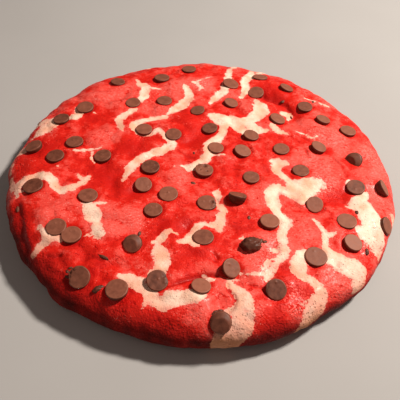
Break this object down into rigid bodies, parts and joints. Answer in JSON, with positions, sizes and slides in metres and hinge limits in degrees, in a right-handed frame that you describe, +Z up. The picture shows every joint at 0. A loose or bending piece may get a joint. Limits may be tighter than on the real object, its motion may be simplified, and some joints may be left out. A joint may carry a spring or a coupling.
{
  "type": "cookie cake",
  "caption": "Giant round cookie cake of marbled red and cream dough, thick with a rounded rim and a flat base, its uneven top studded with chocolate chips.",
  "frame": {"origin": "middle of the flat base that the cookie rests on", "axes": "+Z up out of the chip-studded top, -Y towards the side that the picture shows nearest, +X to its right"},
  "size_m": [0.2366, 0.2372, 0.0299],
  "materials": {
    "dough": "baked cookie dough, matte, red marbled with cream",
    "chocolate": "chocolate, satin, slightly bloomed"
  },
  "bodies": {
    "root": {"dough": "dough", "chip_01": "chocolate", "chip_02": "chocolate", "chip_03": "chocolate", "chip_04": "chocolate", "chip_05": "chocolate", "chip_06": "chocolate", "chip_07": "chocolate", "chip_08": "chocolate", "chip_09": "chocolate", "chip_10": "chocolate", "chip_11": "chocolate", "chip_12": "chocolate", "chip_13": "chocolate", "chip_14": "chocolate", "chip_15": "chocolate", "chip_16": "chocolate", "chip_17": "chocolate", "chip_18": "chocolate", "chip_19": "chocolate", "chip_20": "chocolate", "chip_21": "chocolate", "chip_22": "chocolate", "chip_23": "chocolate", "chip_24": "chocolate", "chip_25": "chocolate", "chip_26": "chocolate", "chip_27": "chocolate", "chip_28": "chocolate", "chip_29": "chocolate", "chip_30": "chocolate", "chip_31": "chocolate", "chip_32": "chocolate", "chip_33": "chocolate", "chip_34": "chocolate", "chip_35": "chocolate", "chip_36": "chocolate", "chip_37": "chocolate", "chip_38": "chocolate", "chip_39": "chocolate", "chip_40": "chocolate", "chip_41": "chocolate", "chip_42": "chocolate", "chip_43": "chocolate", "chip_44": "chocolate", "chip_45": "chocolate", "chip_46": "chocolate", "chip_47": "chocolate", "chip_49": "chocolate", "chip_50": "chocolate", "chip_51": "chocolate", "chip_53": "chocolate", "chip_54": "chocolate", "chip_55": "chocolate", "chip_56": "chocolate", "chip_57": "chocolate", "chip_58": "chocolate", "chip_59": "chocolate", "chip_60": "chocolate", "chip_61": "chocolate"}
  },
  "joints": []
}
